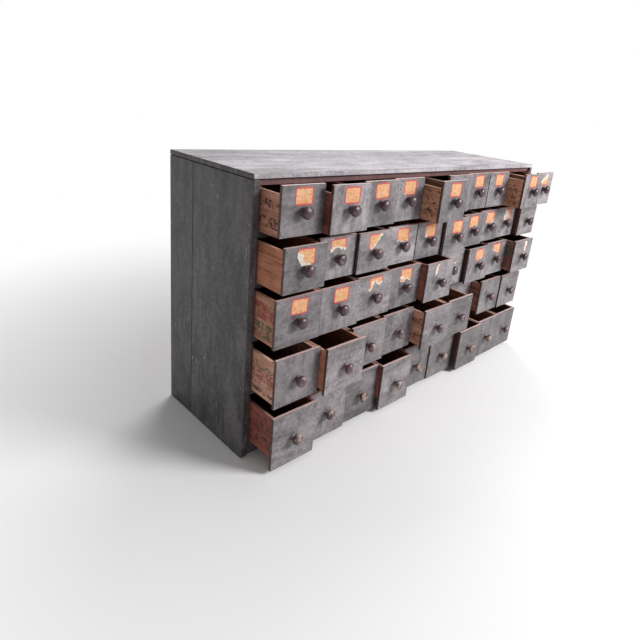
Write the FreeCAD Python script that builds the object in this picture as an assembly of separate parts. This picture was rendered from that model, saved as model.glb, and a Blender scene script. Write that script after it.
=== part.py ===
import FreeCAD, Part
import math
import os

# A wooden parts cabinet: a nailed carcass with four shelves, and 47 small drawers in five rows.
# X runs along the width, the drawers face -Y and Z is up. The origin is at the middle of the base.
# Every size is in millimetres.

# The carcass
cabinet_width = 1242.0
cabinet_depth = 353.0
side_thickness = 16.0
side_front_board = 241.0
top_thickness = 11.5
top_front_board = 190.0
shelf_thickness = 18.0
bottom_thickness = 12.0
housing_depth = 6.0
liner_thickness = 5.0
liner_setback = 2.0
top_rail_height = 14.5
top_rail_thickness = 18.0
base_rail_height = 34.0
base_rail_thickness = 18.0
bearer_thickness = 22.0
back_thickness = 10.0
back_board_width = 174.0

# The rows of drawers, from the top one down
drawer_counts = [10, 10, 9, 9, 9]
opening_heights = [97.0, 99.0, 113.0, 121.0, 123.0]
# Each front rises past the upper edge of its opening, or stays below it where the number is negative
front_rises = [13.8, 3.6, -1.3, -7.8, -16.3]
# Each front hangs below the shelf that carries its drawer
front_drops = [0.0, 1.0, 6.0, 11.0, 36.5]
# The drawer's sides stay this far below the upper edge of the opening
side_headrooms = [5.0, 4.0, 4.0, 16.0, 17.0]

# How far each drawer is pulled out, from left to right; the front of a closed one is flush with the sides
pulls = [
    [66.0, 90.0, 73.0, 62.0, 122.0, 60.0, 49.0, 50.0, 109.0, 93.0],
    [88.0, 62.0, 71.0, 61.0, 62.0, 73.0, 55.0, 43.0, 38.0, 59.0],
    [71.0, 69.0, 60.0, 55.0, 79.0, 30.0, 48.0, 36.0, 71.0],
    [84.0, 108.0, 61.0, 52.0, 96.0, 89.0, 0.0, 42.0, 47.0],
    [88.0, 62.0, 55.0, 72.0, 43.0, 47.0, 72.0, 61.0, 59.0],
]

# A drawer
front_thickness = 7.5
drawer_side_thickness = 8.0
drawer_back_thickness = 8.0
drawer_bottom_thickness = 6.0

# Its turned knob: a foot, a waist and a domed head. Flat facets stand in for the turned surface,
# because the cabinet has so many knobs. The outs are distances from the front's face.
knob_facets = 16
knob_dome_rings = 3
knob_length = 23.5
knob_head_radius = 14.25
knob_rim_out = 14.5
knob_underside_radius = 12.5
knob_underside_out = 11.0
knob_waist_radius = 7.0
knob_waist_out = 6.5
knob_foot_radius = 9.5
knob_foot_out = 2.0
knob_drop = 2.0

# Clearances
between_drawers = 1.5
under_drawer = 0.3
behind_front = 1.0
behind_drawer = 3.0

# Places that follow from the sizes
front_plane = -cabinet_depth / 2
back_plane = cabinet_depth / 2
back_inner = back_plane - back_thickness
shelf_front = front_plane + front_thickness + behind_front
side_outer = cabinet_width / 2
side_inner = side_outer - side_thickness
row_edge = side_inner - liner_thickness
row_width = 2 * row_edge
bottom_top = base_rail_height + bottom_thickness
carcass_top = bottom_top + sum(opening_heights) + (len(opening_heights) - 1) * shelf_thickness + top_rail_height
drawer_length = back_inner - behind_drawer - front_plane


def board(x_span, y_span, z_span):
    """A plain board between three pairs of planes."""
    corner = FreeCAD.Vector(x_span[0], y_span[0], z_span[0])
    return Part.makeBox(x_span[1] - x_span[0], y_span[1] - y_span[0], z_span[1] - z_span[0], corner)


def mirrored(shape):
    """The same piece on the other side of the cabinet."""
    return shape.mirror(FreeCAD.Vector(0, 0, 0), FreeCAD.Vector(1, 0, 0))


def opening_floors():
    """The height of the surface that each row of drawers stands on, from the top row down."""
    floors = []
    floor = carcass_top - top_rail_height
    for height in opening_heights:
        floor -= height
        floors.append(floor)
        floor -= shelf_thickness
    return floors


def shelf(top, thickness):
    """A board across the cabinet, let into both sides and set back so that the fronts close over its edge."""
    reach = side_inner + housing_depth
    return board((-reach, reach), (shelf_front, back_inner), (top - thickness, top))


def side_boards(shelves):
    """One side as two upright boards edge to edge, with a dado for each shelf and a rabbet for the back.

    The dados and the rabbet are all cut to the housing depth.
    """
    seam = front_plane + side_front_board
    front_board = board((-side_outer, -side_inner), (front_plane, seam), (0, carcass_top))
    rear_board = board((-side_outer, -side_inner), (seam, back_plane), (0, carcass_top))
    rabbet = board((-side_inner - housing_depth, -side_inner), (back_inner, back_plane), (0, carcass_top))
    return [front_board.cut(shelves), rear_board.cut(shelves + [rabbet])]


def side_liners(floors):
    """Thin boards that fill each side out to the end drawers, one between every two shelves."""
    liners = []
    for floor, height in zip(floors, opening_heights):
        depth = (front_plane + liner_setback, back_inner)
        liner = board((-side_inner, -row_edge), depth, (floor, floor + height))
        liners += [liner, mirrored(liner)]
    return liners


def top_boards():
    """Two long boards that lie flush on the sides."""
    seam = front_plane + top_front_board
    width = (-side_outer, side_outer)
    height = (carcass_top, carcass_top + top_thickness)
    return [board(width, (front_plane, seam), height), board(width, (seam, back_plane), height)]


def top_rail():
    """The rail under the front edge of the top, behind the fronts of the top row."""
    height = (carcass_top - top_rail_height, carcass_top)
    return board((-side_inner, side_inner), (shelf_front, shelf_front + top_rail_thickness), height)


def base_rail():
    """The rail under the front edge of the bottom board."""
    depth = (shelf_front, shelf_front + base_rail_thickness)
    return board((-side_inner, side_inner), depth, (0, base_rail_height))


def base_bearers():
    """The rear rail, and the bearer that holds the middle of the bottom board."""
    height = (0, base_rail_height)
    rear_rail = board((-side_inner, side_inner), (back_inner - base_rail_thickness, back_inner), height)
    between_rails = (shelf_front + base_rail_thickness, back_inner - base_rail_thickness)
    bearer = board((-bearer_thickness / 2, bearer_thickness / 2), between_rails, height)
    return [rear_rail, bearer]


def back_boards():
    """Upright boards side by side in the rabbets, all alike and as near to the stated width as fits."""
    width = 2 * (side_inner + housing_depth)
    count = max(1, round(width / back_board_width))
    boards = []
    for index in range(count):
        left = -width / 2 + index * width / count
        boards.append(board((left, left + width / count), (back_inner, back_plane), (0, carcass_top)))
    return boards


def knob_rings():
    """The radius and the distance from the front of each ring of the knob, from its foot to its crown."""
    rings = [
        (knob_foot_radius, 0),
        (knob_foot_radius, knob_foot_out),
        (knob_waist_radius, knob_waist_out),
        (knob_underside_radius, knob_underside_out),
    ]
    turns = [math.pi / 2 * step / knob_dome_rings for step in range(knob_dome_rings)]
    rise = (knob_length - knob_rim_out) / math.sin(turns[-1])
    for turn in turns:
        rings.append((knob_head_radius * math.cos(turn), knob_rim_out + rise * math.sin(turn)))
    return rings


def knob():
    """A knob that points to -Y, with the middle of its foot at the origin."""
    polygons = []
    for radius, out in knob_rings():
        corners = []
        for index in range(knob_facets):
            turn = 2 * math.pi * (index + 0.5) / knob_facets
            corners.append(FreeCAD.Vector(radius * math.cos(turn), -out, radius * math.sin(turn)))
        polygons.append(corners)
    outlines = [polygons[0], polygons[-1]]
    for lower, upper in zip(polygons, polygons[1:]):
        for index in range(knob_facets):
            following = (index + 1) % knob_facets
            outlines.append([lower[index], lower[following], upper[following], upper[index]])
    faces = [Part.Face(Part.makePolygon(corners + corners[:1])) for corners in outlines]
    return Part.Solid(Part.makeShell(faces))


def drawer(row, width, knob_shape):
    """A closed drawer with its middle at x = 0 and its shelf at z = 0: front, sides, back, bottom and knob."""
    half = width / 2
    front_z = (under_drawer - front_drops[row], opening_heights[row] + front_rises[row])
    box_y = (front_plane + front_thickness, front_plane + drawer_length)
    bottom_z = (under_drawer, under_drawer + drawer_bottom_thickness)
    side_z = (bottom_z[1], opening_heights[row] - side_headrooms[row])
    front = board((-half, half), (front_plane, box_y[0]), front_z)
    side = board((-half, -half + drawer_side_thickness), box_y, side_z)
    inner = half - drawer_side_thickness
    back = board((-inner, inner), (box_y[1] - drawer_back_thickness, box_y[1]), side_z)
    bottom = board((-half, half), box_y, bottom_z)
    knob_height = sum(front_z) / 2 - knob_drop
    placed_knob = knob_shape.translated(FreeCAD.Vector(0, front_plane, knob_height))
    return [front, side, mirrored(side), back, bottom, placed_knob]


def drawers(floors):
    """Every drawer by name, side by side on its shelf and pulled out as it is found."""
    named = {}
    knob_shape = knob()
    for row, floor in enumerate(floors):
        pitch = row_width / drawer_counts[row]
        pieces = drawer(row, pitch - between_drawers, knob_shape)
        for column in range(drawer_counts[row]):
            middle = -row_edge + (column + 0.5) * pitch
            pull = pulls[row][column % len(pulls[row])]
            place = FreeCAD.Vector(middle, -pull, floor)
            name = f"drawer_row{row + 1}_{column + 1:02d}"
            named[name] = [piece.translated(place) for piece in pieces]
    return named


floors = opening_floors()
shelves = [shelf(floor, shelf_thickness) for floor in floors[:-1]]
bottom_board = shelf(floors[-1], bottom_thickness)
left_side = side_boards(shelves + [bottom_board])

nodes = {
    "top_boards": top_boards(),
    "side_boards_left": left_side,
    "side_boards_right": [mirrored(piece) for piece in left_side],
    "side_liners": side_liners(floors),
    "bottom_board": [bottom_board],
    "top_rail": [top_rail()],
    "base_rail": [base_rail()],
    "base_bearers": base_bearers(),
    "back_boards": back_boards(),
}
for number, piece in enumerate(shelves, start=1):
    nodes[f"shelf_{number}"] = [piece]
nodes.update(drawers(floors))

os.makedirs("parts", exist_ok=True)
for name, pieces in nodes.items():
    shape = pieces[0] if len(pieces) == 1 else Part.makeCompound(pieces)
    shape.exportStep(f"parts/{name}.step")
print(len(nodes), "nodes,", sum(len(pieces) for pieces in nodes.values()), "solids")
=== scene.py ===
import math
import random

import bmesh
import bpy
from mathutils import Matrix, Vector, noise


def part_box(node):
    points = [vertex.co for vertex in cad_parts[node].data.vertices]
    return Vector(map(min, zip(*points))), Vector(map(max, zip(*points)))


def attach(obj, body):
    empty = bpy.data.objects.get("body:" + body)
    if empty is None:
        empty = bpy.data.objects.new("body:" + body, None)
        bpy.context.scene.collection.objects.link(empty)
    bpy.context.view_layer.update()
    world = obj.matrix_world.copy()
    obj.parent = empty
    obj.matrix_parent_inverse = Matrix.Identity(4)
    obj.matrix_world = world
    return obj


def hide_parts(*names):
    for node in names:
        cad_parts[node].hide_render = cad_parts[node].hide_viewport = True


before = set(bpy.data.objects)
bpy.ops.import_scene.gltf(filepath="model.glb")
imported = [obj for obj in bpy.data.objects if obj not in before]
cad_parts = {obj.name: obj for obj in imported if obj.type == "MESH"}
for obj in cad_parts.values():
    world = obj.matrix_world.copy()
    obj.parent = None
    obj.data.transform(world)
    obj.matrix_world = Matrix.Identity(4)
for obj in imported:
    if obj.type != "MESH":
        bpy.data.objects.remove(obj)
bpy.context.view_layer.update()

# The camera stands close to the cabinet's left front corner, a little above its top, and looks down on it.
# Its place, turn, lens and shift follow the photograph's perspective.
camera_place = Vector((-1.246, -1.042, 0.865))
camera_right = Vector((0.7035, -0.7033, 0.1023)).normalized()
camera_forward = Vector((0.6938, 0.6484, -0.3133)).normalized()
camera_up = camera_right.cross(camera_forward)
camera_data = bpy.data.cameras.new("camera")
camera_data.lens = 29.14
camera_data.sensor_width = 36.0
camera_data.shift_x = -0.0411
camera_data.shift_y = -0.0814
camera = bpy.data.objects.new("camera", camera_data)
camera_turn = Matrix((camera_right, camera_up, -camera_forward)).transposed()
camera.matrix_world = Matrix.Translation(camera_place) @ camera_turn.to_4x4()
bpy.context.collection.objects.link(camera)
bpy.context.scene.camera = camera
bpy.context.scene.view_settings.view_transform = "Standard"

# The floor is plain and pale. Far from the cabinet the camera sees it as white, so that it runs on without
# an edge into the white surround, and near the cabinet it keeps the shadow.
floor_size = 20.0
floor_colour = (0.62, 0.62, 0.62)
seen_floor_colour = (0.9, 0.9, 0.9)
shadow_reach = 0.7
white_from = 1.7


def feed(tree, node, inputs):
    """Gives each of a node's inputs a plain value or links another node's socket to it."""
    for name, value in inputs.items():
        if isinstance(value, bpy.types.NodeSocket):
            tree.links.new(value, node.inputs[name])
        else:
            node.inputs[name].default_value = value


def add_node(tree, kind, inputs=None, **settings):
    node = tree.nodes.new(kind)
    for name, value in settings.items():
        setattr(node, name, value)
    feed(tree, node, inputs or {})
    return node


def new_material(name):
    """A material with nothing but its shader and its output. Returns it with its node tree and the shader."""
    material = bpy.data.materials.new(name)
    material.use_nodes = True
    tree = material.node_tree
    tree.nodes.clear()
    shader = add_node(tree, "ShaderNodeBsdfPrincipled")
    add_node(tree, "ShaderNodeOutputMaterial", {"Surface": shader.outputs["BSDF"]})
    return material, tree, shader


def arithmetic(tree, way, first, second=0.0, third=0.0):
    """One step of arithmetic on up to three values."""
    return add_node(tree, "ShaderNodeMath", {0: first, 1: second, 2: third}, operation=way).outputs[0]


def spread(tree, value, low, high, start=0.0, end=1.0):
    """Values from low to high, spread out to run from start to end and no further."""
    inputs = {"Value": value, "From Min": low, "From Max": high, "To Min": start, "To Max": end}
    return add_node(tree, "ShaderNodeMapRange", inputs).outputs["Result"]


def blend(tree, factor, first, second, way="MIX"):
    """Two colours mixed by a factor; each may be a socket or a plain colour."""
    inputs = {0: factor}
    for place, colour in ((6, first), (7, second)):
        inputs[place] = colour if isinstance(colour, bpy.types.NodeSocket) else (*colour, 1)
    return add_node(tree, "ShaderNodeMix", inputs, data_type="RGBA", blend_type=way).outputs[2]


def make_floor():
    material, tree, shader = new_material("pale_floor")
    place = add_node(tree, "ShaderNodeNewGeometry").outputs["Position"]
    distance = add_node(tree, "ShaderNodeVectorMath", {0: place}, operation="LENGTH").outputs["Value"]
    path = add_node(tree, "ShaderNodeLightPath")
    seen = arithmetic(tree, "MAXIMUM", path.outputs["Is Camera Ray"], path.outputs["Is Glossy Ray"])
    colour = blend(tree, seen, floor_colour, seen_floor_colour)
    feed(tree, shader, {"Base Color": colour, "Roughness": 0.8})
    white = add_node(tree, "ShaderNodeEmission", {"Color": (1, 1, 1, 1), "Strength": 1.0})
    far_and_seen = arithmetic(tree, "MULTIPLY", spread(tree, distance, shadow_reach, white_from), seen)
    parts = {0: far_and_seen, 1: shader.outputs["BSDF"], 2: white.outputs["Emission"]}
    mixed = add_node(tree, "ShaderNodeMixShader", parts)
    feed(tree, tree.get_output_node("ALL"), {"Surface": mixed.outputs["Shader"]})
    bm = bmesh.new()
    bmesh.ops.create_grid(bm, x_segments=1, y_segments=1, size=floor_size)
    mesh = bpy.data.meshes.new("floor")
    bm.to_mesh(mesh)
    bm.free()
    floor = bpy.data.objects.new("floor", mesh)
    mesh.materials.append(material)
    bpy.context.collection.objects.link(floor)


make_floor()

# The light is plain and soft: a large lamp at the upper right in front, another over the top, and a dim even
# surround. The cabinet's left side gets little more than the surround, as in the photograph.
surround_colour = (1.0, 0.985, 0.99)
surround_strength = 0.34
lamp_size = 1.6
# Each lamp's place, the point that it shines at, and its power in watts
lamps = {
    "lamp_upper_right": ((1.8, -3.0, 2.2), (0.0, -0.2, 0.33), 178.0),
    "lamp_over_top": ((1.2, 1.3, 2.6), (0.1, 0, 0.65), 40.0),
}


def make_surround():
    world = bpy.data.worlds.new("surround")
    bpy.context.scene.world = world
    world.use_nodes = True
    tree = world.node_tree
    tree.nodes.clear()
    path = add_node(tree, "ShaderNodeLightPath")
    seen = arithmetic(tree, "MAXIMUM", path.outputs["Is Camera Ray"], path.outputs["Is Transmission Ray"])
    plain = {"Color": (*surround_colour, 1), "Strength": surround_strength}
    dim = add_node(tree, "ShaderNodeBackground", plain)
    white = add_node(tree, "ShaderNodeBackground", {"Color": (1, 1, 1, 1), "Strength": 1.0})
    parts = {0: seen, 1: dim.outputs["Background"], 2: white.outputs["Background"]}
    mixed = add_node(tree, "ShaderNodeMixShader", parts)
    add_node(tree, "ShaderNodeOutputWorld", {"Surface": mixed.outputs["Shader"]})


def make_lamps():
    for name, (place, target, power) in lamps.items():
        data = bpy.data.lights.new(name, "AREA")
        data.shape = "DISK"
        data.size = lamp_size
        data.energy = power
        lamp = bpy.data.objects.new(name, data)
        aim = Vector(target) - Vector(place)
        lamp.matrix_world = Matrix.Translation(place) @ aim.to_track_quat("-Z", "Y").to_matrix().to_4x4()
        bpy.context.collection.objects.link(lamp)


make_surround()
make_lamps()

# The sides: each is two upright boards edge to edge, nailed to the shelves and painted dark grey long ago.
# The paint has dulled and streaked, small chips show pale wood, and the front board's lower corners are
# worn round. Their grey is painted darker still, as painted shade on sides that face away from the lamps.
side_front_width = 0.241
side_rounding = 0.0016
worn_corner = 0.009
board_gap = 0.0004
under_top_gap = 0.0008
sharp_angle = 0.7
nail_depth = 0.001
nail_taper = 0.8
side_nail_shares = (0.06, 0.3, 0.55, 0.8, 0.95)
upper_nail_drop = 0.009
# How far the paint is worn in from a face's edge, in metres and at most as a share of the face's narrow side
wear_reach = 0.009
wear_share = 0.35
# How much lighter or darker than the paint's own tone a board may be
board_tones = 0.14
fully_worn = -1.0
chip_colour = (0.5, 0.46, 0.44)
pore_colour = (0.5, 0.42, 0.42)
worn_wood_colour = (0.2, 0.062, 0.045)
palest_scratch = 0.8
# Dirt shows where its noise passes these limits
speck_limit = 0.808
smear_limit = 0.75
# The grain and the smears are drawn out along X, by scaling their points down
grain_draw = (0.045, 1, 1)
smear_draw = (0.3, 1, 1)
mottle_share = 0.42
smear_share = 0.35
shelf_names = ("shelf_1", "shelf_2", "shelf_3", "shelf_4")
left_low, left_high = (Vector(corner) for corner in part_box("side_boards_left"))
right_low, right_high = (Vector(corner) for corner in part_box("side_boards_right"))
front_plane = left_low.y
back_plane = left_high.y
outward = {"left": (-1, 0, 0), "right": (1, 0, 0), "front": (0, -1, 0), "back": (0, 1, 0), "up": (0, 0, 1)}
# Every piece that has nails lists their iron as its second finish
iron_finish = 1
board_chance = random.Random(17)


def noise_value(tree, point, scale, detail=4.0, roughness=0.6, distortion=0.0):
    values = {"Scale": scale, "Detail": detail, "Roughness": roughness, "Distortion": distortion}
    return add_node(tree, "ShaderNodeTexNoise", {"Vector": point, **values}).outputs["Fac"]


def vector_step(tree, way, first, second):
    """One step of arithmetic on two vectors."""
    return add_node(tree, "ShaderNodeVectorMath", {0: first, 1: second}, operation=way).outputs["Vector"]


def attribute(tree, name):
    """A value that the mesh keeps at each of its points."""
    return add_node(tree, "ShaderNodeAttribute", attribute_name=name).outputs["Fac"]


def object_point(tree):
    return add_node(tree, "ShaderNodeTexCoord").outputs["Object"]


def scaled(colour, share):
    """A plain colour with a share of its light."""
    return tuple(share * part for part in colour)


def add_relief(tree, shader, height, depth, strength):
    """Gives a surface a fine relief from a height value, of which 1 stands depth metres high."""
    bump = add_node(tree, "ShaderNodeBump", {"Height": height, "Distance": depth, "Strength": strength})
    feed(tree, shader, {"Normal": bump.outputs["Normal"]})


def new_group(name, inputs, outputs):
    """A node group with the given sockets; inputs named Point are vectors, the rest are single values."""
    group = bpy.data.node_groups.new(name, "ShaderNodeTree")
    for socket in inputs:
        kind = "NodeSocketVector" if socket == "Point" else "NodeSocketFloat"
        group.interface.new_socket(socket, in_out="INPUT", socket_type=kind)
    for socket in outputs:
        group.interface.new_socket(socket, in_out="OUTPUT", socket_type="NodeSocketFloat")
    return group, add_node(group, "NodeGroupInput"), add_node(group, "NodeGroupOutput")


def use_group(tree, group, **inputs):
    return add_node(tree, "ShaderNodeGroup", inputs, node_tree=group).outputs


def grain_group():
    """Wood grain along X: Streaks for the tone of the wood, and Pores for its fine dark lines."""
    group, entry, leave = new_group("grain", ("Point", "Fineness"), ("Streaks", "Pores"))
    fineness = entry.outputs["Fineness"]
    finer = arithmetic(group, "MULTIPLY", fineness, 4.5)
    drawn = vector_step(group, "MULTIPLY", entry.outputs["Point"], grain_draw)
    streaks = noise_value(group, drawn, fineness, detail=6.0, distortion=1.2)
    pores = noise_value(group, drawn, finer, roughness=0.65)
    feed(group, leave, {"Streaks": streaks, "Pores": pores})
    return group


def worn_paint_group():
    """How much paint is left, from a value that is 1 inside a face and falls towards 0 at its edge."""
    group, entry, leave = new_group("worn_paint", ("Point", "Paint", "Wear"), ("Left",))
    point = entry.outputs["Point"]
    ragged = noise_value(group, point, scale=170.0, detail=5.0, roughness=0.7)
    patchy = noise_value(group, point, scale=24.0, detail=3.0)
    bite = arithmetic(group, "MULTIPLY", arithmetic(group, "MULTIPLY", ragged, patchy), entry.outputs["Wear"])
    margin = arithmetic(group, "SUBTRACT", entry.outputs["Paint"], bite)
    feed(group, leave, {"Left": spread(group, margin, 0.0, 0.07)})
    return group


def dirt_marks(tree, point, amount, clouds):
    """Dark specks that gather where the clouds are, and dark smears; a larger amount makes more of both."""
    specks = noise_value(tree, point, scale=230.0, detail=2.0, roughness=0.5)
    smears = noise_value(tree, point, scale=62.0, detail=6.0, roughness=0.75)
    gathered = arithmetic(tree, "MULTIPLY_ADD", clouds, 0.42, arithmetic(tree, "MULTIPLY", specks, 0.7))
    over = arithmetic(tree, "SUBTRACT", gathered, arithmetic(tree, "SUBTRACT", speck_limit, amount))
    smeared = arithmetic(tree, "SUBTRACT", smears, arithmetic(tree, "SUBTRACT", smear_limit, amount))
    dots = spread(tree, over, 0.0, 0.05)
    return arithmetic(tree, "MAXIMUM", dots, spread(tree, smeared, 0.0, 0.16, end=0.75))


def scratch_lines(tree, point):
    """Thin lines with gaps, the edges of large cells whose outlines are bent."""
    swirls = add_node(tree, "ShaderNodeTexNoise", {"Vector": point, "Scale": 9.0, "Detail": 2.0})
    bend = vector_step(tree, "MULTIPLY", swirls.outputs["Color"], (0.09, 0.09, 0.09))
    inputs = {"Vector": vector_step(tree, "ADD", bend, point), "Scale": 26.0}
    cells = add_node(tree, "ShaderNodeTexVoronoi", inputs, feature="DISTANCE_TO_EDGE")
    line = spread(tree, cells.outputs["Distance"], 0.004, 0.016, start=1.0, end=0.0)
    kept = spread(tree, noise_value(tree, point, scale=31.0, detail=3.0), 0.52, 0.6)
    return arithmetic(tree, "MULTIPLY", line, kept)


def age_group():
    """Marks of age: Dirt is specks and smears, Scratches are thin pale lines, and Stains are broad clouds."""
    group, entry, leave = new_group("age", ("Point", "Dirt", "Scratches"), ("Dirt", "Scratches", "Stains"))
    point = entry.outputs["Point"]
    clouds = noise_value(group, point, scale=13.0, detail=5.0, roughness=0.65)
    dirt = dirt_marks(group, point, entry.outputs["Dirt"], clouds)
    lines = arithmetic(group, "MULTIPLY", scratch_lines(group, point), entry.outputs["Scratches"])
    feed(group, leave, {"Dirt": dirt, "Scratches": lines, "Stains": clouds})
    return group


grain = grain_group()
worn_paint = worn_paint_group()
age = age_group()


def turned_point(tree, axis):
    """The piece's points, turned so that the axis along which its grain runs becomes X.

    The shift value of each board moves its points, so that no two boards show the same stretch of wood.
    """
    point = vector_step(tree, "ADD", object_point(tree), attribute(tree, "shift"))
    if axis == "X":
        return point
    turn = {"Y": (0, 0, math.pi / 2), "Z": (0, math.pi / 2, 0)}[axis]
    return add_node(tree, "ShaderNodeMapping", {"Vector": point, "Rotation": turn}).outputs["Vector"]


def upward_share(tree):
    """1 where a face looks up, 0 where it stands upright."""
    normal = add_node(tree, "ShaderNodeNewGeometry").outputs["Normal"]
    height = add_node(tree, "ShaderNodeSeparateXYZ", {"Vector": normal}).outputs["Z"]
    return spread(tree, height, 0.55, 0.95)


def aged_paint(tree, point, lines, marks, dark, pale, streaky, evenness, chips, chip_limit):
    """The colour of the paint: mottled between two tones, scratched, chipped and dirty.

    streaky is the grain's share in the tone, and a larger evenness brings the two tones closer together.
    chips is how clear the chips are, and a lower chip_limit makes more of them.
    """
    drawn = vector_step(tree, "MULTIPLY", point, smear_draw)
    mottle = noise_value(tree, point, scale=95.0, detail=6.0, roughness=0.72)
    smears = noise_value(tree, drawn, scale=21.0, detail=5.0, roughness=0.7, distortion=0.6)
    tone = blend(tree, streaky, marks["Stains"], lines["Streaks"])
    tone = blend(tree, mottle_share, tone, mottle)
    tone = blend(tree, smear_share, tone, smears)
    paint = blend(tree, spread(tree, tone, 0.5 - evenness, 0.5 + evenness), dark, pale)
    scratch = tuple(min(palest_scratch, part) for part in scaled(pale, 2.0))
    paint = blend(tree, marks["Scratches"], paint, scratch)
    own = arithmetic(tree, "FRACT", attribute(tree, "shift"))
    own = spread(tree, own, 0.0, 1.0, start=1 - board_tones, end=1 + board_tones)
    toned = add_node(tree, "ShaderNodeVectorMath", {0: paint, "Scale": own}, operation="SCALE")
    clusters = spread(tree, noise_value(tree, point, scale=8.0, detail=2.0), 0.5, 0.62, start=-0.07, end=0.0)
    flakes = arithmetic(tree, "ADD", noise_value(tree, drawn, scale=120.0, roughness=0.75), clusters)
    chipped = spread(tree, flakes, chip_limit, chip_limit + 0.02, end=chips)
    paint = blend(tree, chipped, toned.outputs["Vector"], chip_colour)
    return blend(tree, marks["Dirt"], paint, scaled(dark, 0.28))


def painted_wood(
    name, axis, dark, pale, bare, bare_up, wear, dirt, scratches, roughness,
    streaky=0.5, evenness=0.08, chips=0.0, chip_limit=0.655,
):
    """Old paint over wood whose grain runs along axis. Where it is gone the wood shows, rubbed paler on top
    and painted paler there too, as painted light from above.

    dark and pale are the paint's two tones, bare and bare_up the wood's colour on upright faces and on top.
    A larger wear bares more of the edges.
    """
    material, tree, shader = new_material(name)
    point = turned_point(tree, axis)
    lines = use_group(tree, grain, Point=point, Fineness=60.0)
    marks = use_group(tree, age, Point=point, Dirt=dirt, Scratches=scratches)
    paint = aged_paint(tree, point, lines, marks, dark, pale, streaky, evenness, chips, chip_limit)
    # Faces that look up get bare_up: rubbed wear, and painted light from above
    wood = blend(tree, upward_share(tree), bare, bare_up)
    pores = spread(tree, lines["Pores"], 0.35, 0.58, start=0.8, end=0.0)
    wood = blend(tree, pores, wood, pore_colour, "MULTIPLY")
    amount = attribute(tree, "paint")
    wood = blend(tree, spread(tree, amount, -0.15, -0.5), wood, worn_wood_colour)
    left = use_group(tree, worn_paint, Point=point, Paint=amount, Wear=wear)["Left"]
    sheen = arithmetic(tree, "MULTIPLY_ADD", marks["Stains"], 0.34, roughness - 0.17)
    feed(tree, shader, {"Base Color": blend(tree, left, wood, paint), "Roughness": sheen})
    height = arithmetic(tree, "MULTIPLY_ADD", lines["Pores"], 0.4, left)
    height = arithmetic(tree, "SUBTRACT", height, arithmetic(tree, "MULTIPLY", marks["Dirt"], 0.5))
    add_relief(tree, shader, height, depth=0.0005, strength=0.7)
    return material


def value_layer(bm, name):
    """The layer of values with that name, made where the mesh has none yet."""
    layers = bm.verts.layers.float
    return layers.get(name) or layers.new(name)


def set_value(face, layer, value):
    for vert in face.verts:
        vert[layer] = value


def round_lower_edge(bm, verts, low, depth):
    """Rounds the lower edge at a block's front or back. Returns the block's corner points after that."""
    near = 1e-6
    ends = [vert for vert in verts if vert.co.z < low.z + near and abs(vert.co.y - depth) < near]
    edge = [edge for edge in ends[0].link_edges if edge.other_vert(ends[0]) in ends]
    rounded = bmesh.ops.bevel(
        bm, geom=edge, offset=worn_corner, segments=4, profile=0.5, affect="EDGES", material=-1
    )
    return [vert for vert in verts if vert.is_valid] + rounded["verts"]


def rounded_block(bm, low, high, rounding, worn_depths):
    """Adds a block with rounded edges to a bmesh and returns its faces."""
    before = set(bm.faces)
    place = Matrix.Translation((low + high) / 2) @ Matrix.Diagonal(high - low).to_4x4()
    verts = bmesh.ops.create_cube(bm, size=1.0, matrix=place)["verts"]
    for depth in worn_depths:
        verts = round_lower_edge(bm, verts, low, depth)
    sharp = {edge for vert in verts for edge in vert.link_edges if edge.calc_face_angle(0) > sharp_angle}
    bmesh.ops.bevel(
        bm, geom=list(sharp), offset=rounding, segments=2, profile=0.5, affect="EDGES", material=-1,
        clamp_overlap=True,
    )
    bm.normal_update()
    return [face for face in bm.faces if face not in before]


def board(bm, low, high, rounding=0.0008, painted=(), rim=0.3, others=None, worn=()):
    """Adds one board to a bmesh, with its own stretch of wood, and paints it.

    painted lists the ways that painted faces look. Such a face gets the value 1 inside and rim at its edge.
    others gives more faces a value each. worn lists the lower edges along X that are rubbed round and bare:
    "front" or "back".
    """
    low, high = Vector(low), Vector(high)
    paint = value_layer(bm, "paint")
    shift = value_layer(bm, "shift")
    worn_depths = [{"front": low.y, "back": high.y}[way] for way in worn]
    faces = rounded_block(bm, low, high, rounding, worn_depths)
    stretch = board_chance.uniform(0, 9)
    bare_reach = 0.9 * worn_corner
    for vert in {vert for face in faces for vert in face.verts}:
        vert[shift] = stretch
        for depth in worn_depths:
            if vert.co.z - low.z < bare_reach and abs(vert.co.y - depth) < bare_reach:
                vert[paint] = fully_worn
    for way, direction in outward.items():
        for face in [face for face in faces if face.normal.dot(Vector(direction)) > 0.999]:
            if way in painted:
                set_value(face, paint, rim)
                reach = min(wear_reach, wear_share * min(edge.calc_length() for edge in face.edges))
                bmesh.ops.inset_individual(bm, faces=[face], thickness=reach, use_even_offset=True)
                set_value(face, paint, 1.0)
            elif others and way in others:
                set_value(face, paint, others[way])


def give_finish(verts, finish):
    """Gives the faces on some points one of the piece's finishes."""
    for face in {face for vert in verts for face in vert.link_faces}:
        face.material_index = finish


def nail(bm, place, way, radius=0.0015, proud=0.0003):
    """Adds a flat nail head, which stands a little proud of the face that looks that way."""
    turn = Vector((0, 0, 1)).rotation_difference(Vector(outward[way])).to_matrix().to_4x4()
    seat = Matrix.Translation(place) @ turn @ Matrix.Translation((0, 0, proud - nail_depth / 2))
    head = bmesh.ops.create_cone(
        bm, cap_ends=True, segments=8, radius1=radius, radius2=nail_taper * radius, depth=nail_depth,
        matrix=seat,
    )
    give_finish(head["verts"], iron_finish)


def about(chance, value, reach):
    """A value that strays by up to reach either way, as things set by hand do."""
    return value + chance.uniform(-reach, reach)


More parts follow.
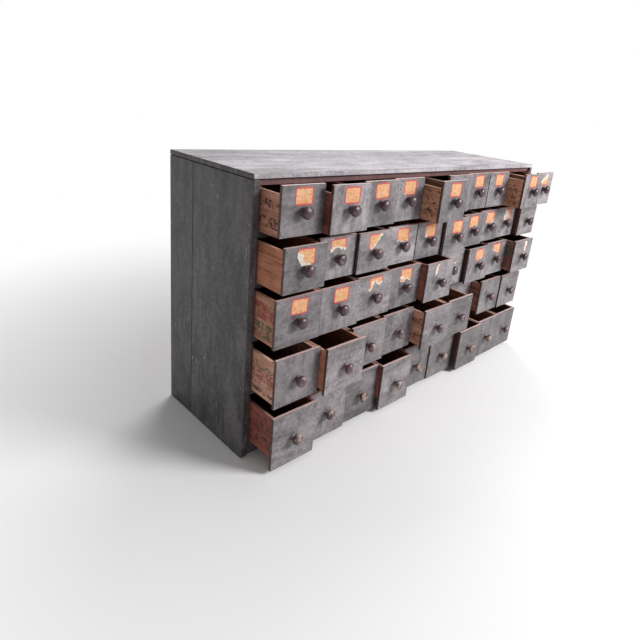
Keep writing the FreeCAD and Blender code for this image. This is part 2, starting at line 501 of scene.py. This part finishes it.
def finish_piece(bm, name, finishes, body, replaced=None):
    """Makes an object of a bmesh, gives it its finishes and ties it to the body that it moves with."""
    mesh = bpy.data.meshes.new(name)
    bm.to_mesh(mesh)
    bm.free()
    piece = bpy.data.objects.new(name, mesh)
    for material in finishes:
        mesh.materials.append(material)
    bpy.context.collection.objects.link(piece)
    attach(piece, body)
    if replaced:
        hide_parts(replaced)


def nail_iron():
    """Old iron nail heads, dark with rust and with rests of the grey paint on them."""
    material, tree, shader = new_material("nail_iron")
    rust = spread(tree, noise_value(tree, object_point(tree), scale=420.0), 0.4, 0.62)
    colour = blend(tree, rust, (0.035, 0.03, 0.03), (0.09, 0.055, 0.045))
    sheen = spread(tree, rust, 0.0, 1.0, start=0.5, end=0.8)
    feed(tree, shader, {"Base Color": colour, "Roughness": sheen, "Metallic": 0.4})
    return material


nail_heads = nail_iron()
# Dark grey paint, painted darker than the fronts' as painted shade on the sides away from the lamps
shaded_side_paint = painted_wood(
    "dark_shaded_side_paint", "Z", dark=(0.037, 0.035, 0.0357), pale=(0.136, 0.127, 0.13), bare=(0.055, 0.032, 0.03),
    bare_up=(0.06, 0.045, 0.045), wear=0.8, dirt=0.11, scratches=0.35, roughness=0.5, streaky=0.3,
    evenness=0.055, chips=1.0, chip_limit=0.62,
)


def middle_height(name):
    """The height of the middle of a carcass board."""
    low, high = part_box(name)
    return (low[2] + high[2]) / 2


def make_sides():
    shelf_heights = [middle_height(name) for name in shelf_names]
    chance = random.Random(3)
    seam = front_plane + side_front_width
    faces = ("left", "right", "front", "back")
    for name, low, high, outside, way in (
        ("side_boards_left", left_low, left_high, left_low.x, "left"),
        ("side_boards_right", right_low, right_high, right_high.x, "right"),
    ):
        top = high.z - under_top_gap
        bm = bmesh.new()
        front_high = (high.x, seam - board_gap / 2, top)
        board(bm, low, front_high, side_rounding, faces, rim=0.4, worn=("front", "back"))
        rear_low = (low.x, seam + board_gap / 2, low.z)
        board(bm, rear_low, (high.x, high.y, top), side_rounding, faces, rim=0.4)
        for height in [*shelf_heights, high.z - upper_nail_drop]:
            for share in side_nail_shares:
                depth = about(chance, front_plane + share * (back_plane - front_plane), reach=0.008)
                nail(bm, (outside, depth, about(chance, height, reach=0.003)), way)
        finish_piece(bm, name, [shaded_side_paint, nail_heads], "carcass", name)


make_sides()

# The top: two long boards nailed down on the sides, the top rail and the back. Years of use have rubbed
# their grey paint thin and pale along the grain, and it is painted paler still, as painted light and sheen
# from above. Their end grain has kept the dark paint of the sides, with the sides' painted shade.
top_low, top_high = (Vector(corner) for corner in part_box("top_boards"))
top_front_width = 0.190
top_rounding = 0.0016
end_paint = 0.9
end_nail_inset = 0.008
end_nail_shares = (0.08, 0.3, 0.47, 0.62, 0.92)
front_row_inset = 0.009
back_row_inset = 0.006
long_row_spaces = 8
# Worn pale paint, painted paler still as painted light and sheen falling on the top
lit_top_paint = painted_wood(
    "rubbed_lit_top_paint", "X", dark=(0.2, 0.185, 0.195), pale=(0.6, 0.56, 0.595), bare=(0.13, 0.105, 0.105),
    bare_up=(0.3, 0.24, 0.24), wear=0.6, dirt=0.09, scratches=0.5, roughness=0.66, streaky=0.6, evenness=0.09,
)


def make_top():
    finishes = [lit_top_paint, nail_heads, shaded_side_paint]
    seam = top_low.y + top_front_width
    chance = random.Random(5)
    faces = ("front", "back", "up")
    ends = {"left": end_paint, "right": end_paint}
    bm = bmesh.new()
    front_high = (top_high.x, seam - board_gap / 2, top_high.z)
    board(bm, top_low, front_high, top_rounding, faces, rim=0.45, others=ends)
    rear_low = (top_low.x, seam + board_gap / 2, top_low.z)
    board(bm, rear_low, top_high, top_rounding, faces, rim=0.45, others=ends)
    for face in bm.faces:
        if abs(face.normal.x) > 0.5:
            face.material_index = finishes.index(shaded_side_paint)
    for side in (top_low.x + end_nail_inset, top_high.x - end_nail_inset):
        for share in end_nail_shares:
            depth = about(chance, top_low.y + share * (top_high.y - top_low.y), reach=0.006)
            nail(bm, (side, depth, top_high.z), "up")
    for count in range(1, long_row_spaces):
        side = about(chance, top_low.x + count / long_row_spaces * (top_high.x - top_low.x), reach=0.02)
        nail(bm, (side, top_low.y + front_row_inset, top_high.z), "up")
        nail(bm, (side, top_high.y - back_row_inset, top_high.z), "up")
    finish_piece(bm, "top_boards", finishes, "carcass", "top_boards")


make_top()

# The shelves, let into the sides, and the base rail between the sides: softwood boards painted on their front
# edges only, in a grey that is painted far darker than the fronts' as painted shade, since they sit back
# behind the drawers. The top rail and the bottom board were never painted, and have darkened to red-brown.
inner_left = left_high.x
inner_right = right_low.x
# Grey paint painted far darker, as painted shade on edges set back behind the drawers
shaded_edge_paint = painted_wood(
    "shelf_shaded_edge_paint", "X", dark=(0.05, 0.048, 0.051), pale=(0.13, 0.125, 0.13), bare=(0.07, 0.035, 0.033),
    bare_up=(0.13, 0.065, 0.055), wear=0.9, dirt=0.08, scratches=0.3, roughness=0.6,
)
rail_wood = painted_wood(
    "rail_wood", "X", dark=(0.09, 0.036, 0.034), pale=(0.22, 0.1, 0.095), bare=(0.08, 0.035, 0.03),
    bare_up=(0.14, 0.07, 0.06), wear=0.4, dirt=0.07, scratches=0.3, roughness=0.6,
)


def make_cross_boards(names, finish, faces, rim):
    """Boards that run from side to side. What sits in the sides' dados doesn't show and is left out."""
    for name in names:
        low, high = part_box(name)
        bm = bmesh.new()
        board(bm, (inner_left, low[1], low[2]), (inner_right, high[1], high[2]), painted=faces, rim=rim)
        finish_piece(bm, name, [finish], "carcass", name)


make_cross_boards((*shelf_names, "base_rail"), shaded_edge_paint, ("front",), 0.4)
make_cross_boards(("top_rail", "bottom_board"), rail_wood, ("front", "back", "up"), 0.5)

# The boards that hardly show are bare softwood: thin liners beside the end drawers, the bearer and rear rail
# under the bottom board, and seven upright back boards nailed into the rabbets of the sides.
liner_thickness = 0.005
liner_rounding = 0.0004
back_rounding = 0.001
back_board_count = 7
back_nail_heights = (0.02, 0.2, 0.35, 0.5, 0.64)
back_nail_shares = (0.14, 0.86)
bearer_half_width = 0.011
rear_rail_thickness = 0.018
every_way = tuple(outward)
# The boards above and below the openings, from the top down
row_carriers = ("top_rail", *shelf_names, "bottom_board")
upright_wood = painted_wood(
    "upright_wood", "Z", dark=(0.07, 0.026, 0.024), pale=(0.16, 0.07, 0.06), bare=(0.08, 0.035, 0.03),
    bare_up=(0.12, 0.06, 0.05), wear=0.4, dirt=0.06, scratches=0.2, roughness=0.65, streaky=0.7,
)
back_wood = painted_wood(
    "back_wood", "Z", dark=(0.12, 0.075, 0.05), pale=(0.3, 0.2, 0.14), bare=(0.1, 0.06, 0.045),
    bare_up=(0.2, 0.13, 0.09), wear=0.5, dirt=0.08, scratches=0.3, roughness=0.7, streaky=0.7,
)


def opening(row):
    """The heights of the floor and of the ceiling of a row's opening. The top row is number 1."""
    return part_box(row_carriers[row])[1][2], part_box(row_carriers[row - 1])[0][2]


def make_liners():
    low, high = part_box("side_liners")
    left, front = low[:2]
    right, back = high[:2]
    bm = bmesh.new()
    for row in range(1, len(row_carriers)):
        floor, ceiling = opening(row)
        for start, end in ((left, left + liner_thickness), (right - liner_thickness, right)):
            board(bm, (start, front, floor), (end, back, ceiling), liner_rounding, every_way, rim=0.5)
    finish_piece(bm, "side_liners", [upright_wood], "carcass", "side_liners")


def make_back():
    (left, front, low), (right, back, high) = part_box("back_boards")
    width = (right - left) / back_board_count
    chance = random.Random(13)
    bm = bmesh.new()
    for count in range(back_board_count):
        start = left + count * width
        end = start + width - board_gap
        board(bm, (start + board_gap, front, low), (end, back, high), back_rounding, every_way, rim=0.5)
        for height in back_nail_heights:
            for share in back_nail_shares:
                side = start + about(chance, share, reach=0.03) * width
                nail(bm, (side, back, about(chance, low + height, reach=0.004)), "back")
    finish_piece(bm, "back_boards", [back_wood, nail_heads], "carcass", "back_boards")


def make_bearers():
    (left, front, low), (right, back, high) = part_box("base_bearers")
    rail_front = back - rear_rail_thickness
    bearer_low = (-bearer_half_width, front, low)
    bearer_high = (bearer_half_width, rail_front, high)
    bm = bmesh.new()
    board(bm, (left, rail_front, low), (right, back, high), back_rounding, every_way, rim=0.5)
    board(bm, bearer_low, bearer_high, back_rounding, every_way, rim=0.5)
    finish_piece(bm, "base_bearers", [rail_wood], "carcass", "base_bearers")


make_liners()
make_back()
make_bearers()

# The drawer fronts: plain boards nailed to the boxes, grey on the face only. Their ends are dark and half
# painted, and hands have rubbed their upper edges pale, which are painted paler still as painted light from
# above. No two have quite the same tone or grain.
front_thickness = 0.0075
knob_length = 0.0235
front_rounding = 0.0007
front_nail_inset = 0.004
front_nail_shares = (0.14, 0.5, 0.84)
front_dark = (0.085, 0.0755, 0.079)
front_pale = (0.272, 0.245, 0.256)
front_shades = {"mid": 1.0, "pale": 1.12, "dull": 0.8}
# How much paint is left on the edges of a front
paint_on_edges = {"left": 0.2, "right": 0.2, "up": 0.1}
drawer_names = sorted(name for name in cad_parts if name.startswith("drawer_"))
# Fronts whose shade and direction of grain follow the photograph
seen_fronts = {
    "drawer_row1_01": ("X", "dull"),
    "drawer_row3_01": ("X", "dull"),
    "drawer_row4_01": ("Z", "dull"),
    "drawer_row5_01": ("X", "pale"),
    "drawer_row5_02": ("Z", "pale"),
}


def front_paint(axis, shade):
    light = front_shades[shade]
    return painted_wood(
        f"front_paint_{axis.lower()}_{shade}", axis, dark=scaled(front_dark, light),
        pale=scaled(front_pale, light), bare=(0.1, 0.05, 0.046), bare_up=(0.78, 0.57, 0.54), wear=0.9,
        dirt=0.125, scratches=0.3, roughness=0.5, streaky=0.3, evenness=0.075, chips=0.7,
    )


front_paints = {(axis, shade): front_paint(axis, shade) for axis in ("X", "Z") for shade in front_shades}


def front_box(name):
    """The lowest and highest corner of a drawer's front board."""
    low, high = (Vector(corner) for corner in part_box(name))
    face = low.y + knob_length
    return Vector((low.x, face, low.z)), Vector((high.x, face + front_thickness, high.z))


def make_fronts():
    chance = random.Random(7)
    for name in drawer_names:
        low, high = front_box(name)
        bm = bmesh.new()
        board(bm, low, high, front_rounding, ("front",), rim=0.36, others=paint_on_edges)
        for side in (low.x + front_nail_inset, high.x - front_nail_inset):
            for share in front_nail_shares:
                height = low.z + about(chance, share, reach=0.04) * (high.z - low.z)
                place = (about(chance, side, reach=0.001), low.y, height)
                nail(bm, place, "front", radius=0.0013, proud=0.0002)
        paint = chance.choice(list(front_paints.values()))
        if name in seen_fronts:
            paint = front_paints[seen_fronts[name]]
        finish_piece(bm, name + "_front", [paint, nail_heads], name, name)


make_fronts()

# The drawer boxes: sides and back nailed together, with a thin bottom nailed under them. They are cut from
# old crates, so the woods differ, and some boards keep faded ink marks and stripes from their first use.
box_board = 0.008
box_bottom = 0.006
box_rounding = 0.0006
bottom_rounding = 0.0005
under_drawer = 0.0003
side_headrooms = (0.005, 0.004, 0.004, 0.016, 0.017)
rear_nail_shares = (0.25, 0.75)
upper_nail_setback = 0.05
# The dark and the pale tone of each wood
crate_woods = {
    "tan": ((0.36, 0.155, 0.095), (0.76, 0.4, 0.27)),
    "orange": ((0.34, 0.115, 0.06), (0.8, 0.35, 0.21)),
    "pine": ((0.56, 0.26, 0.18), (0.95, 0.58, 0.42)),
    "brown": ((0.15, 0.055, 0.04), (0.38, 0.17, 0.12)),
    "red": ((0.15, 0.042, 0.03), (0.42, 0.135, 0.095)),
    # Nearly black: painted shade on box sides seen in the gaps between drawers; unseen boxes may draw it too
    "dark": ((0.022, 0.009, 0.009), (0.07, 0.026, 0.023)),
}
unseen_woods = ("brown", "red", "orange", "dark", "tan")
inner_shade = (0.045, 0.016, 0.011)
black_ink = (0.035, 0.028, 0.03)
ink_strength = 0.85
rubbed_and_lit_share = 0.7
# The lower and upper limit of each mark as shares of the box's height, its colour, and how much has faded
crate_marks = {
    "plain": (),
    "inked": ((0.62, 0.82, black_ink, 0.5), (0.16, 0.42, black_ink, 0.52)),
    "blotted": ((0.1, 0.9, black_ink, 0.54),),
    "striped": ((0.5, 0.86, (0.42, 0.09, 0.07), 0.47), (0.1, 0.42, (0.1, 0.14, 0.07), 0.46)),
    "faded": (
        (0.3, 0.64, (0.4, 0.12, 0.11), 0.48),
        (0.66, 0.84, (0.14, 0.15, 0.09), 0.52),
        (0.08, 0.2, black_ink, 0.5),
    ),
    "banded": ((0.5, 0.88, (0.045, 0.085, 0.05), 0.43), (0.1, 0.3, black_ink, 0.52)),
}
# The boxes that the photograph shows, with their wood and marks. A box side that shows only in a dark gap
# has the nearly black wood, as painted shade.
seen_boxes = {
    "drawer_row1_01": ("tan", "inked"),
    "drawer_row1_02": ("red", "plain"),
    "drawer_row1_05": ("tan", "blotted"),
    "drawer_row1_09": ("tan", "blotted"),
    "drawer_row2_01": ("orange", "plain"),
    "drawer_row2_03": ("dark", "plain"),
    "drawer_row2_06": ("dark", "plain"),
    "drawer_row2_10": ("dark", "plain"),
    "drawer_row3_01": ("tan", "striped"),
    "drawer_row3_05": ("red", "plain"),
    "drawer_row3_07": ("dark", "plain"),
    "drawer_row3_09": ("brown", "banded"),
    "drawer_row4_01": ("pine", "faded"),
    "drawer_row4_02": ("orange", "plain"),
    "drawer_row4_05": ("tan", "inked"),
    "drawer_row4_08": ("brown", "plain"),
    "drawer_row5_01": ("red", "blotted"),
    "drawer_row5_04": ("red", "plain"),
    "drawer_row5_07": ("dark", "plain"),
}


def crate_wood(wood, marks):
    """Rough bare softwood with its grain along the drawer, paler on its upper edges, which are rubbed and
    also carry painted light from above.

    The height value is a point's share of the box's height, and the paint value is 1 inside the box, which is
    darkened there with painted shade, most towards its floor.
    """
    dark, pale = crate_woods[wood]
    material, tree, shader = new_material(f"crate_wood_{wood}_{marks}")
    point = turned_point(tree, "Y")
    lines = use_group(tree, grain, Point=point, Fineness=75.0)
    stains = use_group(tree, age, Point=point, Dirt=0.08, Scratches=0.4)
    tone = blend(tree, 0.5, lines["Streaks"], stains["Stains"])
    colour = blend(tree, spread(tree, tone, 0.38, 0.62), dark, pale)
    height = attribute(tree, "height")
    broken = noise_value(tree, point, scale=55.0, distortion=1.5)
    for low, high, tint, faded in crate_marks[marks]:
        above = arithmetic(tree, "GREATER_THAN", height, low)
        below = arithmetic(tree, "LESS_THAN", height, high)
        printed = arithmetic(tree, "MULTIPLY", arithmetic(tree, "MULTIPLY", above, below), ink_strength)
        printed = arithmetic(tree, "MULTIPLY", printed, spread(tree, broken, faded, faded + 0.05))
        colour = blend(tree, printed, colour, tint)
    pores = spread(tree, lines["Pores"], 0.3, 0.52, start=0.55, end=0.0)
    colour = blend(tree, pores, colour, scaled(dark, 0.35))
    colour = blend(tree, stains["Dirt"], colour, scaled(dark, 0.3))
    # Upper faces paler: rubbed wear, and painted light from above
    rubbed = tuple(0.6 * part + 0.13 for part in pale)
    colour = blend(tree, arithmetic(tree, "MULTIPLY", upward_share(tree), rubbed_and_lit_share), colour, rubbed)
    # Painted shade: the inside of the box is darkened, most towards its floor
    shaded = spread(tree, height, 0.45, 1.0, start=0.8, end=0.3)
    inside = arithmetic(tree, "MULTIPLY", attribute(tree, "paint"), shaded)
    colour = blend(tree, inside, colour, inner_shade)
    feed(tree, shader, {"Base Color": colour, "Roughness": 0.72, "Specular IOR Level": 0.3})
    add_relief(tree, shader, lines["Pores"], depth=0.0006, strength=0.8)
    return material


def row_of(name):
    """The number of a drawer's row, counted from the top."""
    return int(name[len("drawer_row")])


def box_mesh(name):
    """The sides, back and bottom of one drawer's box, with its nails."""
    low, high = front_box(name)
    front, rear = high.y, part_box(name)[1][1]
    left, right, behind = low.x + box_board, high.x - box_board, rear - box_board
    floor, ceiling = opening(row_of(name))
    floor += under_drawer
    top = ceiling - side_headrooms[row_of(name) - 1]
    foot = floor + box_bottom
    bm = bmesh.new()
    for start, end, rounding, inner in (
        ((low.x, front, floor), (high.x, rear, foot), bottom_rounding, "up"),
        ((low.x, front, foot), (left, rear, top), box_rounding, "right"),
        ((right, front, foot), (high.x, rear, top), box_rounding, "left"),
        ((left, behind, foot), (right, rear, top), box_rounding, "front"),
    ):
        board(bm, start, end, rounding, others={inner: 1.0})
    height_share = value_layer(bm, "height")
    for vert in bm.verts:
        vert[height_share] = (vert.co.z - floor) / (top - floor)
    for side, way in ((low.x, "left"), (high.x, "right")):
        for height in rear_nail_shares:
            nail(bm, (side, rear - box_board / 2, foot + height * (top - foot)), way)
    for side in (low.x + box_board / 2, high.x - box_board / 2):
        nail(bm, (side, front + upper_nail_setback, top), "up", radius=0.001, proud=0.0002)
    return bm


def make_boxes():
    chance = random.Random(11)
    materials = {}
    for name in drawer_names:
        bm = box_mesh(name)
        kind = seen_boxes.get(name) or (chance.choice(unseen_woods), "plain")
        if kind not in materials:
            materials[kind] = crate_wood(*kind)
        finish_piece(bm, name + "_box", [materials[kind], nail_heads], name, name)


make_boxes()

# The knobs: turned hardwood with a round foot, a waist and a domed head, varnished nearly black and held by
# a screw from inside the drawer. Hands have worn the fourth row's varnish thin and the lowest row's through.
foot_radius = 0.0101
foot_out = 0.0022
foot_bevel = (0.0006, 0.0008)
waist_radius = 0.0071
waist_out = 0.0065
underside_radius = 0.0106
underside_out = 0.0104
rim_radius = 0.01425
rim_out = 0.0156
knob_steps = 28
knob_drop = 0.002
screw_radius = 0.0035
screw_taper = 0.7
screw_height = 0.0014


def knob_varnish(name, dark, pale, rubbed, share, roughness):
    """Dark varnish on turned wood, rubbed through in patches; a larger share shows more bare wood."""
    material, tree, shader = new_material(name)
    point = turned_point(tree, "Y")
    lines = use_group(tree, grain, Point=point, Fineness=260.0)
    marks = use_group(tree, age, Point=point, Dirt=0.05, Scratches=0.5)
    clouds = noise_value(tree, point, scale=70.0)
    worn = spread(tree, clouds, 0.72 - share, 0.84 - share)
    colour = blend(tree, spread(tree, lines["Streaks"], 0.35, 0.65), dark, pale)
    colour = blend(tree, worn, colour, rubbed)
    colour = blend(tree, marks["Dirt"], colour, scaled(dark, 0.4))
    sheen = spread(tree, worn, 0.0, 1.0, start=roughness, end=roughness + 0.2)
    feed(tree, shader, {"Base Color": colour, "Roughness": sheen})
    add_relief(tree, shader, lines["Pores"], depth=0.0003, strength=0.5)
    return material


dark_varnish = knob_varnish(
    "dark_varnish", dark=(0.032, 0.015, 0.02), pale=(0.09, 0.045, 0.056), rubbed=(0.2, 0.135, 0.15),
    share=0.18, roughness=0.34,
)
worn_varnish = knob_varnish(
    "worn_varnish", dark=(0.048, 0.024, 0.031), pale=(0.13, 0.07, 0.082), rubbed=(0.27, 0.19, 0.2),
    share=0.22, roughness=0.35,
)
rubbed_varnish = knob_varnish(
    "rubbed_varnish", dark=(0.05, 0.026, 0.028), pale=(0.12, 0.07, 0.07), rubbed=(0.36, 0.27, 0.23),
    share=0.26, roughness=0.4,
)
row_varnishes = (dark_varnish, dark_varnish, dark_varnish, worn_varnish, rubbed_varnish)


def turned_curve(centre, radii, start, end, steps):
    """Points along part of an ellipse, as pairs of a radius and a distance from the front."""
    turns = [math.radians(start + (end - start) * step / steps) for step in range(1, steps + 1)]
    return [(centre[0] + radii[0] * math.cos(turn), centre[1] + radii[1] * math.sin(turn)) for turn in turns]


def knob_profile():
    """The knob's outline from the edge of its foot over the waist and the rim to the crown."""
    foot = [(foot_radius - foot_bevel[0], 0.0), (foot_radius, foot_bevel[1]), (foot_radius, foot_out)]
    hollow = (foot_radius - waist_radius, waist_out - foot_out)
    to_waist = turned_curve((foot_radius, waist_out), hollow, 270, 180, steps=3)
    flare = (underside_radius - waist_radius, underside_out - waist_out)
    to_underside = turned_curve((underside_radius, waist_out), flare, 180, 90, steps=3)
    underside = (rim_radius - underside_radius, rim_out - underside_out)
    to_rim = turned_curve((underside_radius, rim_out), underside, -90, 0, steps=4)
    dome = turned_curve((0, rim_out), (rim_radius, knob_length - rim_out), 0, 90, steps=6)
    return foot + to_waist + to_underside + to_rim + dome


def knob_pattern():
    """One knob with the middle of its foot at the origin, and the head of its screw behind the front."""
    bm = bmesh.new()
    verts = [bm.verts.new((radius, -out, 0)) for radius, out in knob_profile()]
    edges = [bm.edges.new(pair) for pair in zip(verts, verts[1:])]
    bmesh.ops.spin(
        bm, geom=verts + edges, axis=(0, 1, 0), cent=(0, 0, 0), dvec=(0, 0, 0), angle=math.tau,
        steps=knob_steps, use_merge=True,
    )
    bmesh.ops.remove_doubles(bm, verts=bm.verts[:], dist=1e-5)
    bmesh.ops.holes_fill(bm, edges=[edge for edge in bm.edges if edge.is_boundary])
    bmesh.ops.recalc_face_normals(bm, faces=bm.faces[:])
    # Only the foot's flat underside has more corners than the turned faces
    for face in bm.faces:
        face.smooth = len(face.verts) <= 4
    turn = Matrix.Rotation(-math.pi / 2, 4, "X")
    seat = Matrix.Translation((0, front_thickness + screw_height / 2, 0)) @ turn
    head = bmesh.ops.create_cone(
        bm, cap_ends=True, segments=14, radius1=screw_radius, radius2=screw_taper * screw_radius,
        depth=screw_height, matrix=seat,
    )
    give_finish(head["verts"], iron_finish)
    pattern = bpy.data.meshes.new("knob_pattern")
    bm.to_mesh(pattern)
    bm.free()
    return pattern


def make_knobs():
    pattern = knob_pattern()
    for name in drawer_names:
        low, high = front_box(name)
        place = Vector(((low.x + high.x) / 2, low.y, (low.z + high.z) / 2 - knob_drop))
        bm = bmesh.new()
        bm.from_mesh(pattern)
        bmesh.ops.translate(bm, verts=bm.verts[:], vec=place)
        varnish = row_varnishes[row_of(name) - 1]
        finish_piece(bm, name + "_knob", [varnish, nail_heads], name, name)
    bpy.data.meshes.remove(pattern)


make_knobs()

# The labels: paper glued to the fronts above the knobs, with a red edge round a plain peach field. Many are
# torn, and there the paper's cream under-layer or the front's paint shows.
label_width = 0.050
label_height = 0.039
label_below_top = 0.005
label_columns = 34
label_rows = 26
paper_thickness = 0.0001
# How far the upper layer and the under-layer stand off the front
layer_prouds = (0.00025, 0.00012)
# How far the label's sides, and its foot and top, draw in towards the corners
side_draw = 0.085
end_draw = 0.11
draw_power = 7
# Where the coloured edge starts to fade and where it has ended, and how much it wanders, in millimetres
edge_fade = (4.2, 5.0)
edge_wander = 2.2
# A tear's ragged line: how fine it is across and upward, its noise, and its share against a straight line
tear_fineness = (1.9, 1.5)
tear_roughness = 0.9
tear_growth = 2.3
tear_octaves = 4
ragged_share = 0.24
straight_share = 0.76
straight_slope = 0.9
seed_step = 1.7
# How far each label is torn, how much further its under-layer reaches, where it is torn from, and its tilt.
# The last two are in degrees.
label_tears = {
    "drawer_row1_01": (0.0, 0.0, 0, 0),
    "drawer_row1_02": (0.05, 0.0, 0, 1),
    "drawer_row1_03": (0.0, 0.0, 0, -2),
    "drawer_row1_04": (0.14, 0.03, 20, 1),
    "drawer_row1_05": (0.0, 0.0, 0, 1),
    "drawer_row1_06": (0.6, 0.08, 180, 0),
    "drawer_row1_07": (0.06, 0.0, 0, -1),
    "drawer_row1_08": (0.0, 0.0, 0, 2),
    "drawer_row1_09": (0.16, 0.04, 180, 0),
    "drawer_row1_10": (0.52, 0.2, 135, 1),
    "drawer_row2_01": (0.36, 0.16, 50, 1),
    "drawer_row2_02": (0.42, 0.12, 10, -2),
    "drawer_row2_03": (0.52, 0.11, -60, 2),
    "drawer_row2_04": (0.2, 0.05, 0, 0),
    "drawer_row2_05": (0.15, 0.04, 60, -1),
    "drawer_row2_06": (0.1, 0.0, 0, 1),
    "drawer_row2_07": (0.2, 0.02, 0, 0),
    "drawer_row2_08": (0.22, 0.05, 0, 2),
    "drawer_row2_09": (0.66, 0.26, 90, -3),
    "drawer_row3_01": (0.0, 0.0, 0, 4),
    "drawer_row3_02": (0.04, 0.0, 0, 1),
    "drawer_row3_03": (0.55, 0.08, -20, -1),
    "drawer_row3_04": (0.35, 0.08, 0, 2),
    "drawer_row3_05": (0.84, 0.13, -50, 0),
    "drawer_row3_06": (0.8, 0.15, 180, 0),
    "drawer_row3_07": (0.2, 0.03, 0, -1),
    "drawer_row3_08": (0.24, 0.04, 30, 1),
    "drawer_row3_09": (0.82, 0.14, 90, 2),
}


def label_paper(name, field, faded, spotted, edge):
    """Old paper with a coloured edge. The margin value is the distance from its outline, in millimetres."""
    material, tree, shader = new_material(name)
    point = object_point(tree)
    blotches = noise_value(tree, point, scale=150.0, detail=5.0, roughness=0.75)
    fibres = noise_value(tree, point, scale=900.0, detail=3.0)
    spots = spread(tree, noise_value(tree, point, scale=260.0, detail=3.0), 0.54, 0.64, end=0.6)
    wander = arithmetic(tree, "MULTIPLY_ADD", blotches, edge_wander, attribute(tree, "margin"))
    colour = blend(tree, spread(tree, blotches, 0.42, 0.58), field, faded)
    colour = blend(tree, spots, colour, spotted)
    colour = blend(tree, spread(tree, wander, *edge_fade, start=1.0, end=0.0), colour, edge)
    feed(tree, shader, {"Base Color": colour, "Roughness": 0.8, "Specular IOR Level": 0.25})
    add_relief(tree, shader, fibres, depth=0.0001, strength=0.5)
    return material


printed_paper = label_paper(
    "printed_paper", field=(0.64, 0.28, 0.12), faded=(0.66, 0.42, 0.25), spotted=(0.26, 0.15, 0.08),
    edge=(0.52, 0.09, 0.09),
)
under_paper = label_paper(
    "under_paper", field=(0.6, 0.5, 0.38), faded=(0.72, 0.66, 0.57), spotted=(0.42, 0.35, 0.27),
    edge=(0.68, 0.6, 0.5),
)


def tear_off(layer, tear, torn_from, seed):
    """Deletes the faces of a flat grid that lie towards one direction, along a ragged line.

    torn_from is that direction's angle in degrees: 0 is the label's foot, 90 its left edge and 180 its top.
    """
    away = Vector((math.sin(math.radians(torn_from)), math.cos(math.radians(torn_from))))
    torn = []
    for face in layer.faces:
        centre = face.calc_center_median()
        point = Vector((tear_fineness[0] * centre.x, tear_fineness[1] * centre.y, seed))
        ragged = 0.5 + noise.fractal(point, tear_roughness, tear_growth, tear_octaves)
        straight = 0.5 + straight_slope * (centre.x * away.x + centre.y * away.y)
        if straight_share * straight + ragged_share * ragged < tear:
            torn.append(face)
    bmesh.ops.delete(layer, geom=torn, context="FACES")


def paper_layer(bm, place, tear, torn_from, seed, finish):
    """Adds one layer of a label: a grid with rounded corners, torn away from one direction."""
    layer = bmesh.new()
    margin = layer.verts.layers.float.new("margin")
    bmesh.ops.create_grid(layer, x_segments=label_columns, y_segments=label_rows, size=0.5)
    tear_off(layer, tear, torn_from, seed)
    for vert in layer.verts:
        across, upward = vert.co.x, vert.co.y
        vert[margin] = 1000 * min((0.5 - abs(across)) * label_width, (0.5 - abs(upward)) * label_height)
        vert.co.x = across * label_width * (1 - side_draw * abs(2 * upward) ** draw_power)
        vert.co.y = upward * label_height * (1 - end_draw * abs(2 * across) ** draw_power)
    ragged_edge = [vert for vert in layer.verts if vert.is_boundary and vert[margin] > 0.5]
    bmesh.ops.smooth_vert(layer, verts=ragged_edge, factor=0.5, use_axis_x=True, use_axis_y=True)
    bmesh.ops.solidify(layer, geom=layer.faces[:], thickness=paper_thickness)
    bmesh.ops.recalc_face_normals(layer, faces=layer.faces[:])
    proud = Matrix.Translation((0, -layer_prouds[finish], 0))
    bmesh.ops.transform(layer, matrix=proud @ place, verts=layer.verts[:])
    for face in layer.faces:
        face.material_index = finish
    loose = bpy.data.meshes.new("paper_layer")
    layer.to_mesh(loose)
    layer.free()
    bm.from_mesh(loose)
    bpy.data.meshes.remove(loose)


def make_labels():
    finishes = [printed_paper, under_paper]
    stand = Matrix.Rotation(math.pi / 2, 4, "X")
    for count, (name, (tear, further, torn_from, tilt)) in enumerate(label_tears.items()):
        low, high = front_box(name)
        middle = Vector(((low.x + high.x) / 2, low.y, high.z - label_below_top - label_height / 2))
        place = Matrix.Translation(middle) @ Matrix.Rotation(math.radians(tilt), 4, "Y") @ stand
        seed = count * seed_step
        bm = bmesh.new()
        if further:
            paper_layer(bm, place, tear - further, torn_from, seed, finishes.index(under_paper))
        paper_layer(bm, place, tear, torn_from, seed, finishes.index(printed_paper))
        finish_piece(bm, name + "_label", finishes, name)


make_labels()
